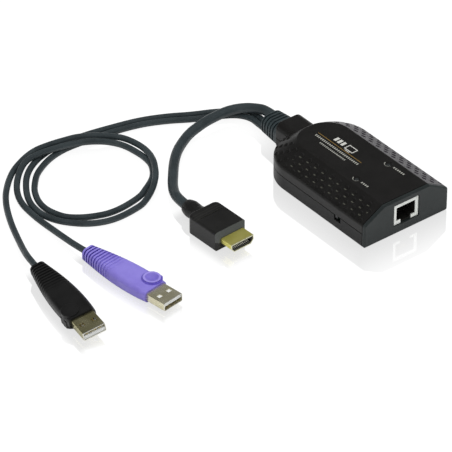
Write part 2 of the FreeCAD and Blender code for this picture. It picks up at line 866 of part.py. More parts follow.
def video_plug_grip():
    """Flat block with a tapered nose, round shoulders and a waisted neck."""
    front = -video_neck_length - video_grip_length
    back = -video_neck_length
    nose_end = front + video_nose_length
    block = rounded_bar(video_grip_width, video_grip_height, video_edge_rounding, nose_end, back)
    corner = box(video_grip_width / 2 - video_shoulder_radius, video_grip_width,
                 back - video_shoulder_radius, back + 1.0, -video_grip_height, video_grip_height)
    for side in (-1, 1):
        turn = post(side * (video_grip_width / 2 - video_shoulder_radius), back - video_shoulder_radius,
                    -video_grip_height, video_grip_height, video_shoulder_radius)
        waste = corner if side > 0 else corner.mirror(Vector(0, 0, 0), Vector(1, 0, 0))
        block = block.cut(waste.cut(turn))
    back_rim = edges_where(block, lambda edge: edge.BoundBox.YMax > back - 1e-4
                           and edge.BoundBox.YMin > back - video_shoulder_radius - 1e-3
                           and edge.BoundBox.ZLength < 1e-3)
    block = block.makeFillet(video_back_rounding, back_rim)
    nose = Part.makeLoft([
        rounded_section(video_nose_width, video_nose_height, video_edge_rounding, front),
        rounded_section(video_grip_width, video_grip_height, video_edge_rounding, nose_end),
    ], True, True)
    root = back - video_shoulder_radius
    waist_y = back + 0.28 * video_neck_length
    bulge_y = back + 0.66 * video_neck_length

    def ring(radius, y):
        return Vector(radius, y, 0)

    rise = (video_neck_bulge_radius + video_neck_waist_radius) / 2
    profile = Part.Wire([
        Part.LineSegment(ring(0, root), ring(video_neck_root_radius, root)).toShape(),
        Part.BSplineCurve([ring(video_neck_root_radius, root),
                           ring(video_neck_waist_radius, waist_y)]).toShape(),
        Part.Arc(ring(video_neck_waist_radius, waist_y), ring(rise, (waist_y + bulge_y) / 2 - 0.3),
                 ring(video_neck_bulge_radius, bulge_y)).toShape(),
        Part.Arc(ring(video_neck_bulge_radius, bulge_y),
                 ring((video_neck_bulge_radius + video_neck_end_radius) / 2 + 0.15, bulge_y / 2),
                 ring(video_neck_end_radius, 0)).toShape(),
        Part.LineSegment(ring(video_neck_end_radius, 0), ring(0, 0)).toShape(),
        Part.LineSegment(ring(0, 0), ring(0, root)).toShape(),
    ])
    neck = Part.Face(profile).revolve(Vector(0, 0, 0), BACK, 360)
    ridge_y = front + video_ridge_setback
    ridge_half = video_grip_width / 2 - 2 * video_edge_rounding
    ridges = [box(-ridge_half, ridge_half,
                  ridge_y - video_ridge_width / 2, ridge_y + video_ridge_width / 2,
                  low, low + video_ridge_depth)
              for low in (-video_grip_height / 2, video_grip_height / 2 - video_ridge_depth)]
    seat = video_bar(0.0, front - 1.0, front + video_seat_depth)
    return without(joined([block, nose, neck]), ridges + [seat])


def video_front():
    return -video_neck_length - video_grip_length


def video_plug_shell():
    tip = video_front() - video_plug_reach
    back = video_front() + video_seat_depth
    return video_bar(0.0, tip, back).cut(video_bar(video_plug_sheet, tip - 1.0, back + 1.0))


def video_plug_core():
    """Insulator that fills the shell around a flat slot."""
    tip = video_front() - video_plug_reach
    block = video_bar(video_plug_sheet + video_core_fit, tip + video_core_recess,
                      video_front() + video_seat_depth)
    slot = centred_box(0.0, tip + (video_core_recess + video_slot_depth) / 2, -video_slot_height / 2,
                       video_slot_width, video_slot_depth + video_core_recess, video_slot_height)
    return block.cut(slot)


def video_plug_contacts():
    """Two staggered rows of flat contacts on the walls of the slot."""
    tip = video_front() - video_plug_reach
    start = tip + video_core_recess + video_contact_setback
    end = tip + video_core_recess / 2 + video_slot_depth
    bars = []
    for count, low in ((video_contact_count, -video_slot_height / 2),
                       (video_contact_count - 1, video_slot_height / 2 - video_contact_thickness)):
        for index in range(count):
            x = (index - (count - 1) / 2) * video_contact_pitch
            bars.append(box(x - video_contact_width / 2, x + video_contact_width / 2, start, end,
                            low, low + video_contact_thickness))
    return Part.makeCompound(bars)


# ---------------------------------------------------------------- leads
video_exit = (2.6, 8.6)
black_exit = (-0.9, 4.6)
purple_exit = (-4.4, 4.6)
floor_clearance = 0.02


def height_on_button(roll):
    """Height of a data plug's axis when it lies on the edge of its button."""
    half = grip_size(button_setback)[1] / 2 + button_rise
    lean = radians(roll)
    return half * abs(cos(lean)) - (button_offset + button_radius) * sin(lean) + floor_clearance


video_axis_height = video_grip_height / 2 + floor_clearance
black_axis_height = height_on_button(black_plug_roll)
purple_axis_height = max(grip_heights) / 2 + floor_clearance
data_lying = data_cable_diameter / 2
video_lying = video_cable_diameter / 2

video_route = [
    (video_exit[0], exit_y, video_exit[1]),
    (2.6, 63.5, 8.6),
    (-2.6, 74.2, 10.8),
    (-14.5, 79.6, 11.4),
    (-29.5, 77.4, 8.0),
    (-44.0, 69.6, 3.4),
    (-55.8, 60.4, video_lying),
    (-66.6, 49.4, video_lying),
    (-76.65, 35.2, video_axis_height),
    (-76.1, 22.6, video_axis_height),
]
black_route = [
    (black_exit[0], exit_y, black_exit[1]),
    (-0.9, 61.6, 4.6),
    (-8.0, 75.5, data_lying),
    (-20.0, 86.0, data_lying),
    (-35.0, 95.5, data_lying),
    (-53.0, 101.8, data_lying),
    (-72.0, 105.8, data_lying),
    (-91.0, 108.2, data_lying),
    (-107.0, 104.2, data_lying),
    (-120.5, 94.0, data_lying),
    (-130.4, 80.0, data_lying),
    (-133.2, 64.0, data_lying),
    (-125.0, 49.0, data_lying),
    (-110.0, 39.8, data_lying),
    (-93.0, 39.4, data_lying),
    (-78.5, 46.0, 3.0),
    (-67.6, 56.5, 4.8),
    (-62.6, 69.5, 5.1),
    (-62.4, 82.4, 6.2),
    (-69.0, 92.4, 8.2),
    (-81.5, 98.6, 8.6),
    (-96.5, 102.8, 8.6),
    (-111.0, 104.6, 8.6),
    (-124.0, 101.0, 4.0),
    (-136.8, 90.0, data_lying),
    (-146.0, 75.5, data_lying),
    (-152.8, 60.0, data_lying),
    (-158.2, 46.0, 2.4),
    (-161.955, 34.9, black_axis_height),
    (-163.3, 25.9, black_axis_height),
]
purple_route = [
    (purple_exit[0], exit_y, purple_exit[1]),
    (-4.4, 60.6, 4.6),
    (-11.2, 73.0, data_lying),
    (-22.6, 83.2, data_lying),
    (-37.0, 92.0, data_lying),
    (-54.5, 98.2, data_lying),
    (-73.0, 102.2, data_lying),
    (-90.5, 104.2, data_lying),
    (-105.2, 100.0, data_lying),
    (-117.6, 90.6, data_lying),
    (-126.6, 78.0, data_lying),
    (-129.4, 64.0, data_lying),
    (-122.4, 51.6, data_lying),
    (-108.6, 43.4, data_lying),
    (-93.0, 43.0, data_lying),
    (-78.5, 49.8, data_lying),
    (-67.6, 59.8, data_lying),
    (-62.6, 72.0, data_lying),
    (-65.8, 82.6, 2.4),
    (-74.2, 89.0, 6.0),
    (-86.4, 92.8, 8.6),
    (-100.0, 98.0, 8.6),
    (-114.4, 98.4, 8.6),
    (-127.0, 91.8, 5.4),
    (-135.2, 80.0, 1.8),
    (-138.8, 67.0, data_lying),
    (-138.8, 53.5, data_lying),
    (-137.2, 42.0, 2.4),
    (-136.715, 32.5, purple_axis_height),
    (-135.45, 23.5, purple_axis_height),
]


def arc_cord(name, route, diameter):
    """Round tube along straight runs joined by tangent arcs."""
    points = [Vector(*point) for point in route]
    edges = []
    radii = []
    here = points[0]
    for before, corner, after in zip(points, points[1:], points[2:]):
        to_before = (before - corner).normalize()
        to_after = (after - corner).normalize()
        half_turn = (pi - to_before.getAngle(to_after)) / 2
        cut = 0.45 * min(before.distanceToPoint(corner), corner.distanceToPoint(after))
        radius = cut / tan(half_turn)
        start = corner + to_before * cut
        end = corner + to_after * cut
        bisector = (to_before + to_after).normalize()
        middle = corner + bisector * (hypot(cut, radius) - radius)
        edges.append(Part.LineSegment(here, start).toShape())
        edges.append(Part.Arc(start, middle, end).toShape())
        radii.append(radius)
        here = end
    edges.append(Part.LineSegment(here, points[-1]).toShape())
    path = Part.Wire(edges)
    section = Part.Wire(Part.makeCircle(diameter / 2, points[0], points[1] - points[0]))
    tube = path.makePipeShell([section], True, False)
    expected = pi * diameter ** 2 / 4 * path.Length
    print(f"{name}: length {path.Length:.1f}, volume {tube.Volume / expected:.4f} of section times length, "
          f"radii {' '.join(f'{radius:.0f}' for radius in radii)}")
    return tube


def inner_leads():
    """Stripped ends of the three leads, from the grommet's flange to the board."""
    leads = [inner_lead(video_exit, video_socket_x, video_socket_size, video_inner_diameter)]
    for cable_exit, x in ((black_exit, black_socket_x), (purple_exit, purple_socket_x)):
        leads.append(inner_lead(cable_exit, x, data_socket_size, data_inner_diameter))
    return Part.makeCompound(leads)


def inner_lead(cable_exit, socket_x, socket_size, diameter):
    """Lead that rises behind the board's edge and then runs level across it to its socket."""
    flange_front = neck_end - neck_back_wall - grommet_flange_thickness
    start = Vector(cable_exit[0], flange_front, cable_exit[1])
    end = Vector(socket_x, socket_y + socket_size[1] / 2, board_top + socket_wall + diameter / 2)
    over_edge = Vector(cable_exit[0], board_back + board_edge_gap, end.z)
    before_socket = end + BACK * inner_lead_straight
    points = [start, start - BACK * inner_lead_straight, over_edge, before_socket, end]
    section = Part.Wire(Part.makeCircle(diameter / 2, start, BACK))
    return Part.makePolygon(points).makePipeShell([section], True, False, 1)


# ---------------------------------------------------------------- assembly
def place_plug(shape, route, turn, roll=0.0):
    """Stand a plug's cable entry on the end of its lead."""
    rotation = Rotation(UP, turn).multiply(Rotation(BACK, -roll))
    placed = shape.copy()
    placed.Placement = Placement(Vector(*route[-1]), rotation)
    return placed


def housing_pieces():
    blank = shell_blank()
    return {
        "lower_shell": lower_shell(blank),
        "upper_shell": upper_shell(blank),
        "front_panel": front_panel(),
        "housing_screws": housing_screws(),
        "cable_grommet": cable_grommet(),
        "jack_shield": jack_shield(),
        "jack_insert": jack_insert(),
        "jack_contacts": jack_contacts(),
        "main_board": main_board(),
        "video_chip": chip(video_chip),
        "network_chip": chip(network_chip),
        "memory_chip": chip(memory_chip),
        "pulse_transformer": rounded_can(transformer),
        "power_inductor": rounded_can(
            (inductor[0], board_back - inductor[1]) + inductor[2:]),
        "clock_crystal": rounded_can((crystal_x, board_back - crystal_setback) + crystal),
        "board_capacitors": board_capacitors(),
        "board_lamps": board_lamps(),
        "power_light_pipe": light_pipe(lamp_x),
        "link_light_pipe": light_pipe(-lamp_x),
        "switch_body": switch_body(),
        "switch_slider": switch_slider(),
        "video_lead_socket": socket(video_socket_x, socket_y, video_socket_size),
        "data_lead_sockets": Part.makeCompound(
            [socket(x, socket_y, data_socket_size) for x in (black_socket_x, purple_socket_x)]),
        "inner_leads": inner_leads(),
    }


def lead_pieces():
    return {
        "video_cable": arc_cord("video_cable", video_route, video_cable_diameter),
        "black_data_cable": arc_cord("black_data_cable", black_route, data_cable_diameter),
        "purple_data_cable": arc_cord("purple_data_cable", purple_route, data_cable_diameter),
    }


def plug_pieces():
    video = {
        "video_plug_grip": video_plug_grip(),
        "video_plug_shell": video_plug_shell(),
        "video_plug_core": video_plug_core(),
        "video_plug_contacts": video_plug_contacts(),
    }
    data = {
        "grip": data_plug_grip(),
        "shell": data_plug_shell(),
        "core": data_plug_core(),
        "contacts": data_plug_contacts(),
    }
    pieces = {name: place_plug(shape, video_route, video_plug_turn) for name, shape in video.items()}
    for colour, route, turn, roll in (
            ("black", black_route, black_plug_turn, black_plug_roll),
            ("purple", purple_route, purple_plug_turn, purple_plug_roll)):
        for name, shape in data.items():
            pieces[f"{colour}_plug_{name}"] = place_plug(shape, route, turn, roll)
    return pieces


def main():
    os.makedirs("parts", exist_ok=True)
    pieces = {}
    for name, shape in housing_pieces().items():
        moved = shape.copy()
        moved.translate(housing_shift)
        pieces[name] = moved
    pieces.update(lead_pieces())
    pieces.update(plug_pieces())
    for name, shape in pieces.items():
        if not shape.isValid():
            print("not valid:", name)
        print(f"{name}: {len(shape.Solids)} solids, {shape.Volume:.1f} mm3")
        shape.exportStep(os.path.join("parts", name + ".step"))


main()
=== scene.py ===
import math

import bpy
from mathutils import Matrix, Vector


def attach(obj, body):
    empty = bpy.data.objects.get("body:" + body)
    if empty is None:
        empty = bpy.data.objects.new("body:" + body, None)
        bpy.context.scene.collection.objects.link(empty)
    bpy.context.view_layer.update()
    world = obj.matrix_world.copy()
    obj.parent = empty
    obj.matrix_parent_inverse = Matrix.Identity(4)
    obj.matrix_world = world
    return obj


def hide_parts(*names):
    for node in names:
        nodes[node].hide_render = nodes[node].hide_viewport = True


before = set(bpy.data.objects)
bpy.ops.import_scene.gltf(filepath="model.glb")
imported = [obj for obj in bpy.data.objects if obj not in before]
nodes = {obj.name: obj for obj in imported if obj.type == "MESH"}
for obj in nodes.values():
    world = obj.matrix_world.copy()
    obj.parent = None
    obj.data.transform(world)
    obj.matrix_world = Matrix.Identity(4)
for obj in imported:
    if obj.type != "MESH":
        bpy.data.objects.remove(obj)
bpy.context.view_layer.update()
scene = bpy.context.scene
scene.view_settings.view_transform = "Standard"
mm = 0.001
print("frame loaded")


# a colour is given as 0 to 255 and turned into linear light
def linear(value):
    value = value / 255
    return value / 12.92 if value < 0.04045 else ((value + 0.055) / 1.055) ** 2.4


def tone(red, green, blue):
    return (linear(red), linear(green), linear(blue), 1.0)


# ---- camera: lens, sensor and target in millimetres, distances in metres, angles in degrees
cameraFacts = {
    "lens": 318.6, "sensor": 36.0, "distance": 1.94039, "near": 0.05, "far": 50.0,
    "target": (-66.86, 3.72, 0.0), "azimuth": -38.19, "elevation": 35.97,
}


def makeCamera(facts):
    data = bpy.data.cameras.new("viewCamera")
    data.lens = facts["lens"]
    data.sensor_width = facts["sensor"]
    data.clip_start = facts["near"]
    data.clip_end = facts["far"]
    camera = bpy.data.objects.new("viewCamera", data)
    scene.collection.objects.link(camera)
    a = math.radians(facts["azimuth"])
    e = math.radians(facts["elevation"])
    back = Vector((math.sin(a) * math.cos(e), -math.cos(a) * math.cos(e), math.sin(e)))
    camera.location = Vector(facts["target"]) * mm + back * facts["distance"]
    camera.rotation_mode = "QUATERNION"
    camera.rotation_quaternion = (-back).to_track_quat("-Z", "Y")
    scene.camera = camera


makeCamera(cameraFacts)
print("camera placed")

# ---- cords: millimetres, and each length in metres
# heights of a thin and a thick cord that lie flat, and of a thin one where it crosses over
lieThin = 1.6
lieThick = 2.6
humpThin = 5.0
# how finely a cord is rounded, the steps between its points, and its curve's order
cordRounding = 8
cordSteps = 10
cordOrder = 3
blackFacts = {"diameter": 3.2, "length": 0.446, "exit": (-0.9, 52.5, 4.6)}
blackPoints = (
    (-0.9, 52.5, 4.6), (-0.6, 57.2, 4.6), (1.5, 65.2, 3.2), (-1.8, 75.4, lieThin),
    (-11.5, 82.4, lieThin),
    (-23.0, 87.7, lieThin), (-33.2, 94.1, lieThin), (-46.8, 100.2, lieThin), (-62.3, 103.8, lieThin),
    (-74.0, 106.2, lieThin), (-85.1, 107.3, lieThin), (-92.5, 107.3, lieThin), (-99.6, 106.2, lieThin),
    (-107.3, 103.9, lieThin), (-114.0, 100.2, lieThin), (-119.9, 95.3, lieThin), (-124.6, 89.4, lieThin),
    (-129.0, 82.4, lieThin), (-131.9, 75.5, lieThin), (-132.7, 69.2, lieThin), (-132.6, 64.0, lieThin),
    (-130.9, 58.2, lieThin), (-127.2, 52.0, lieThin), (-119.2, 43.9, lieThin), (-107.3, 39.2, lieThin),
    (-91.0, 40.6, lieThin), (-85.7, 43.0, lieThin), (-79.8, 46.3, 2.5), (-74.9, 50.0, 4.0),
    (-70.9, 54.4, humpThin), (-67.8, 59.2, humpThin), (-65.2, 63.6, humpThin), (-62.4, 70.8, 4.4),
    (-60.8, 80.2, 3.2), (-62.7, 90.6, 2.8), (-68.0, 95.2, 3.7), (-73.2, 97.6, humpThin),
    (-77.9, 101.0, humpThin), (-83.4, 103.9, humpThin), (-88.0, 104.9, humpThin), (-96.3, 106.6, humpThin),
    (-107.9, 107.6, 4.8), (-119.3, 105.4, lieThin), (-127.6, 99.2, lieThin), (-135.0, 91.6, lieThin),
    (-139.1, 86.2, lieThin), (-143.7, 78.7, lieThin), (-149.3, 67.0, lieThin), (-153.7, 55.5, lieThin),
    (-158.4, 44.2, 3.4), (-161.95, 34.9, 5.66), (-163.3, 25.9, 5.66),
)
purpleFacts = {"diameter": 3.2, "length": 0.407, "exit": (-4.4, 52.5, 4.6)}
purplePoints = (
    (-4.4, 52.5, 4.6), (-4.2, 57.0, 4.6), (-2.6, 65.6, 3.2), (-5.2, 73.9, lieThin),
    (-14.1, 78.9, lieThin),
    (-25.4, 84.3, lieThin), (-34.9, 90.6, lieThin), (-48.0, 96.8, lieThin), (-63.8, 100.2, lieThin),
    (-76.8, 101.9, lieThin), (-88.2, 102.9, lieThin), (-95.8, 102.3, lieThin), (-102.9, 100.3, lieThin),
    (-109.8, 96.9, lieThin), (-115.3, 93.3, lieThin), (-120.7, 87.4, lieThin), (-124.3, 82.6, lieThin),
    (-127.9, 74.4, lieThin), (-128.6, 66.7, lieThin), (-126.8, 59.9, lieThin), (-124.0, 54.6, lieThin),
    (-115.8, 48.6, lieThin), (-103.8, 44.4, lieThin), (-86.6, 46.8, lieThin), (-80.3, 50.5, lieThin),
    (-75.0, 53.6, lieThin), (-70.5, 57.2, lieThin), (-66.8, 62.4, lieThin), (-64.8, 67.0, lieThin),
    (-64.2, 71.8, lieThin), (-64.2, 76.5, lieThin), (-65.6, 86.8, lieThin), (-70.4, 92.1, 2.8),
    (-75.8, 94.0, 4.6), (-80.9, 96.9, humpThin), (-86.2, 99.3, humpThin), (-89.4, 100.5, humpThin),
    (-95.7, 101.9, humpThin), (-99.2, 102.6, humpThin), (-106.5, 103.6, humpThin), (-114.6, 103.6, 4.3),
    (-121.4, 99.7, 2.0), (-127.8, 92.8, lieThin), (-132.4, 85.6, lieThin), (-135.3, 77.6, lieThin),
    (-136.1, 70.0, lieThin), (-136.4, 62.0, lieThin), (-136.1, 51.4, 1.8), (-136.4, 41.2, 2.8),
    (-136.7, 32.5, 3.82), (-135.45, 23.5, 3.82),
)
videoFacts = {"diameter": 5.2, "length": 0.1277, "exit": (2.6, 52.5, 8.6)}
videoPoints = (
    (2.6, 52.5, 8.6), (2.7, 59.8, 8.6), (0.9, 65.0, 7.65), (-3.0, 70.4, 6.8),
    (-10.3, 74.2, 6.1), (-20.6, 73.9, 6.0), (-25.2, 73.5, 5.9), (-29.4, 73.7, 4.7),
    (-35.3, 73.8, 2.7), (-42.1, 70.2, lieThick), (-48.3, 66.2, lieThick), (-53.6, 61.5, lieThick),
    (-58.3, 56.5, lieThick), (-62.9, 50.9, lieThick), (-67.9, 44.8, lieThick), (-72.3, 38.0, 3.4),
    (-75.6, 30.6, 5.2), (-76.1, 22.6, 5.42),
)


def makeCord(name, facts, points, node):
    curve = bpy.data.curves.new(name, "CURVE")
    curve.dimensions = "3D"
    curve.bevel_depth = 1.0  # the points' own radius gives the thickness
    curve.bevel_resolution = cordRounding
    curve.resolution_u = cordSteps
    curve.use_fill_caps = True
    line = curve.splines.new("NURBS")
    line.points.add(len(points) - 1)
    for point, (x, y, z) in zip(line.points, points):
        point.co = (x * mm, y * mm, z * mm, 1.0)
        point.radius = facts["diameter"] * mm / 2
    line.order_u = cordOrder
    line.use_endpoint_u = True
    cord = bpy.data.objects.new(name, curve)
    scene.collection.objects.link(cord)
    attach(cord, "case")
    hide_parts(node)
    return cord


blackCord = makeCord("blackLead", blackFacts, blackPoints, "black_data_cable")
purpleCord = makeCord("purpleLead", purpleFacts, purplePoints, "purple_data_cable")
videoCord = makeCord("videoLead", videoFacts, videoPoints, "video_cable")
print("cords laid")


# ---- shading
ownPlace = 3  # the output that gives a point in its piece's own directions


class Field:
    def __init__(self, tree, socket=None):
        self.tree = tree
        self.socket = socket

    def add(self, kind, settings=None, inputs=None, output=0):
        node = self.tree.nodes.new(kind)
        for name, value in (settings or {}).items():
            setattr(node, name, value)
        for key, value in (inputs or {}).items():
            if isinstance(value, Field):
                self.tree.links.new(value.socket, node.inputs[key])
            else:
                node.inputs[key].default_value = value
        return Field(self.tree, node.outputs[output])

    def maths(self, operation, first, second=0.0):
        return self.add("ShaderNodeMath", {"operation": operation}, {0: first, 1: second})

    def __add__(self, other):
        return self.maths("ADD", self, other)

    __radd__ = __add__

    def __sub__(self, other):
        return self.maths("SUBTRACT", self, other)

    def __rsub__(self, other):
        return self.maths("SUBTRACT", other, self)

    def __mul__(self, other):
        return self.maths("MULTIPLY", self, other)

    __rmul__ = __mul__

    def __truediv__(self, other):
        return self.maths("DIVIDE", self, other)

    def __gt__(self, other):
        return self.maths("GREATER_THAN", self, other)

    def __lt__(self, other):
        return self.maths("LESS_THAN", self, other)

    def __mod__(self, other):
        return self.maths("FLOORED_MODULO", self, other)

    def size(self):
        return self.maths("ABSOLUTE", self)

    def root(self):
        return self.maths("SQRT", self)

    def most(self, other):
        return self.maths("MAXIMUM", self, other)

    def between(self, low, high):
        return (self > low) * (self < high)

    def rise(self, low, high):
        return self.add("ShaderNodeMapRange", {"interpolation_type": "SMOOTHSTEP"},
                        {0: self, 1: low, 2: high, 3: 0.0, 4: 1.0})

    # colours go in at 6 and 7 and come out at 2
    def blend(self, first, second):
        return self.add("ShaderNodeMix", {"data_type": "RGBA"}, {0: self, 6: first, 7: second}, 2)

    def stretch(self, factors):
        return self.add("ShaderNodeVectorMath", {"operation": "MULTIPLY"}, {0: self, 1: factors})

    def noise(self, scale, detail=3.0, roughness=0.5):
        return self.add("ShaderNodeTexNoise", {"noise_dimensions": "3D"},
                        {"Vector": self, "Scale": scale, "Detail": detail, "Roughness": roughness})

    def bump(self, strength, distance):
        return self.add("ShaderNodeBump", {},
                        {"Height": self, "Strength": strength, "Distance": distance * mm})

    def axes(self):
        split = self.add("ShaderNodeSeparateXYZ", inputs={0: self})
        return [Field(self.tree, out) / mm for out in split.socket.node.outputs]


def material(name, constants, paint):
    made = bpy.data.materials.new(name)
    made.use_nodes = True
    tree = made.node_tree
    shader = tree.nodes["Principled BSDF"]
    for key, value in constants.items():
        shader.inputs[key].default_value = value
    point = Field(tree).add("ShaderNodeTexCoord", output=ownPlace)
    for key, field in paint(point).items():
        tree.links.new(field.socket, shader.inputs[key])
    return made


# a noise is its scale, its detail and, where it is set, its roughness; a rise is where a blend
# starts and ends
mouldFacts = {
    "flow": (90.0, 4.0, 0.6), "rise": (0.3, 0.7), "patch": (45.0, 2.0), "fineDetail": 2.0,
    "patchShare": 0.12, "fineShare": 0.06, "relief": 0.5,
}
metalFacts = {
    "lines": (900.0, 3.0, 0.6), "stain": (160.0, 3.0), "rise": (0.25, 0.75),
    "lineShare": 0.12, "stainShare": 0.1, "relief": 0.2, "depth": 0.004,
}
lacquerFacts = {
    "cloud": (120.0, 3.0), "rise": (0.3, 0.7), "slant": 0.5, "lanePitch": 2.4, "lane": 0.5,
    "gate": (60.0, 1.0), "gateFrom": 0.5, "laneShare": 0.7, "roughness": 0.3, "cloudShare": 0.15,
    "relief": 0.5, "depth": 0.03, "coat": 0.3,
}
glassFacts = {
    "cloud": (300.0, 2.0), "rise": (0.2, 0.8), "roughness": 0.08, "cloudShare": 0.08,
    "clear": 0.3, "index": 1.49,
}


# moulded plastic: a fine spark grain, faint flow marks, and rubbed patches that shine more
def moulded(name, dark, light, roughness, grain=0.02, grainScale=2600.0, marksAndPaintedLight=None, shine=0.5):
    def paint(point):
        facts = mouldFacts
        flow = point.noise(*facts["flow"])
        fine = point.noise(grainScale, facts["fineDetail"])
        colour = flow.rise(*facts["rise"]).blend(dark, light)
        # print marks and painted light go over the colour
        if marksAndPaintedLight:
            colour = marksAndPaintedLight(point.axes(), colour)
        patch = point.noise(*facts["patch"])
        # a noise averages one half, so half of the shares comes off again
        middle = (facts["patchShare"] + facts["fineShare"]) / 2
        rough = patch * facts["patchShare"] + fine * facts["fineShare"] + (roughness - middle)
        return {"Base Color": colour, "Roughness": rough, "Normal": fine.bump(facts["relief"], grain)}
    return material(name, {"Specular IOR Level": shine}, paint)


# plated or drawn metal: fine lines one way, and faint stains
def metal(name, dark, light, roughness, stretch, metallic=1.0, marksAndPaintedLight=None):
    def paint(point):
        facts = metalFacts
        lines = point.stretch(stretch).noise(*facts["lines"])
        stain = point.noise(*facts["stain"])
        colour = stain.rise(*facts["rise"]).blend(dark, light)
        # painted light goes over the colour
        if marksAndPaintedLight:
            colour = marksAndPaintedLight(point.axes(), colour)
        # a noise averages one half, so half of the shares comes off again
        middle = (facts["lineShare"] + facts["stainShare"]) / 2
        rough = lines * facts["lineShare"] + stain * facts["stainShare"] + (roughness - middle)
        return {"Base Color": colour, "Roughness": rough,
                "Normal": lines.bump(facts["relief"], facts["depth"])}
    return material(name, {"Metallic": metallic}, paint)


# ---- marks on the housing, with painted highlights, a painted reflection and painted shade
# rows of dashes: low x, high x, low y, high y, pitch
markFacts = {
    "light": tone(206, 206, 200), "grey": tone(168, 168, 160), "amber": tone(140, 112, 56),
    # the lamps' places, and a painted highlight arc round each lamp: radius in, radius out, and how far
    # left of the lamp's centre it starts
    "top": 20.0, "lampX": 10.0, "lampY": -26.5, "highlightIn": 1.8, "highlightOut": 2.15, "highlightCut": 0.3,
    "rows": (
        (-10.8, -9.7, -35.2, -29.8, 1.35), (9.5, 10.6, -38.2, -29.8, 1.4),
        (-2.7, -1.4, -17.7, 15.2, 1.32), (-5.2, -4.2, -11.0, 8.6, 1.16),
    ),
    "rowShare": 0.55,
    "screen": (1.6, 5.6, -8.8, -2.6), "screenLine": 0.5, "stand": (0.8, 1.2, -7.4, -4.0),
    "keys": (2.0, 5.2, -0.8, 6.6, 2.6), "keyShare": 0.66, "rule": (-0.07, 0.27, -17.7, 15.4),
    # painted reflection on the right slope: where it starts across, its low edge, its share and its
    # purple-grey tint
    "slopeX": 13.4, "slopeLow": 13.2, "slopeSheenShare": 0.8, "slopeSheenTint": tone(58, 54, 60),
    # painted shade over the neck, from this y back
    "neckY": 38.9, "neckShade": tone(2, 2, 2),
}


def box(spot, xLow, xHigh, yLow, yHigh):
    return spot[0].between(xLow, xHigh) * spot[1].between(yLow, yHigh)


def dashes(spot, xLow, xHigh, yLow, yHigh, pitch, share):
    inStep = ((spot[1] - yLow) % pitch) < pitch * share
    return box(spot, xLow, xHigh, yLow, yHigh) * inStep


def frameMark(spot, xLow, xHigh, yLow, yHigh, line):
    outer = box(spot, xLow, xHigh, yLow, yHigh)
    return outer - box(spot, xLow + line, xHigh - line, yLow + line, yHigh - line)


def reachFrom(spot, x, y):
    across = spot[0] - x
    along = spot[1] - y
    return (across * across + along * along).root()


# painted highlights: pale dashes on the lower side of each dimple on the left slope; the rows of dimples
# start below the top's edge, and every second row is set back by half a pitch
dimpleFacts = {
    "rowsFrom": 15.8, "row": 2.695, "outer": 26.5, "pitch": 5.75, "front": -47.6, "back": 9.8,
    "inner": 0.5, "edge": 1.2, "half": 0.75, "low": 13.3, "margin": 0.3,
    "share": 0.6, "tint": tone(104, 104, 94),
}


def dimpleGlints(spot):
    facts = dimpleFacts
    outward = -1.0 * spot[0] - facts["rowsFrom"]
    even = (outward % (2 * facts["row"])) < facts["row"]
    across = outward % facts["row"] - facts["row"] / 2
    half = facts["pitch"] / 2
    along = (spot[1] - facts["front"] + half - even * half) % facts["pitch"] - half
    glint = across.between(facts["inner"], facts["edge"]) * (along.size() < facts["half"])
    inRows = (outward > 0.0) * (outward < facts["outer"] - facts["rowsFrom"] - facts["margin"])
    inRows = inRows * spot[1].between(facts["front"], facts["back"])
    return glint * inRows * spot[2].between(facts["low"], markFacts["top"])


def housingPrintAndPaintedLight(spot, colour):
    facts = markFacts
    onTop = spot[2] > facts["top"]
    greyPrintAndHighlight = dashes(spot, *facts["rows"][0], facts["rowShare"])
    for row in facts["rows"][1:]:
        greyPrintAndHighlight = greyPrintAndHighlight.most(dashes(spot, *row, facts["rowShare"]))
    # painted highlight: a pale arc on the left side of each lamp's recess, in the grey of the printed
    # dashes
    for side in (-1, 1):
        x = side * facts["lampX"]
        lampRimHighlight = reachFrom(spot, x, facts["lampY"]).between(facts["highlightIn"], facts["highlightOut"])
        greyPrintAndHighlight = greyPrintAndHighlight.most(lampRimHighlight * (spot[0] < x - facts["highlightCut"]))
    # a plain screen with its stand and three keys beside it
    white = frameMark(spot, *facts["screen"], facts["screenLine"])
    white = white.most(box(spot, *facts["stand"]))
    white = white.most(dashes(spot, *facts["keys"], facts["keyShare"]))
    rule = box(spot, *facts["rule"])
    # painted reflection: the right slope is painted a lighter purple-grey
    paintedSlopeSheen = (spot[0] > facts["slopeX"]) * spot[2].between(facts["slopeLow"], facts["top"])
    colour = (paintedSlopeSheen * facts["slopeSheenShare"]).blend(colour, facts["slopeSheenTint"])
    # painted shade: the neck at the back is painted almost black
    colour = (spot[1] > facts["neckY"]).blend(colour, facts["neckShade"])
    # painted highlights on the left slope's dimples
    colour = (dimpleGlints(spot) * dimpleFacts["share"]).blend(colour, dimpleFacts["tint"])
    colour = (rule * onTop).blend(colour, facts["amber"])
    colour = (greyPrintAndHighlight * onTop).blend(colour, facts["grey"])
    return (white * onTop).blend(colour, facts["light"])


# a plug's own directions: across it, and along it from the cable entry to the nose
plugFacts = {
    "video": {"entry": (-76.1, 22.6), "turn": 2.5, "nose": 41.3, "grip": 33.5, "axis": 5.42},
    "black": {"entry": (-163.3, 25.9), "turn": -8.5, "nose": 57.3},
    "purple": {"entry": (-135.45, 23.5), "turn": 8.0, "nose": 57.3, "axis": 3.82},
}


def alongPlug(spot, facts):
    turn = math.radians(facts["turn"])
    x = spot[0] - facts["entry"][0]
    y = spot[1] - facts["entry"][1]
    across = x * math.cos(turn) + y * math.sin(turn)
    along = x * math.sin(turn) - y * math.cos(turn)
    return across, along


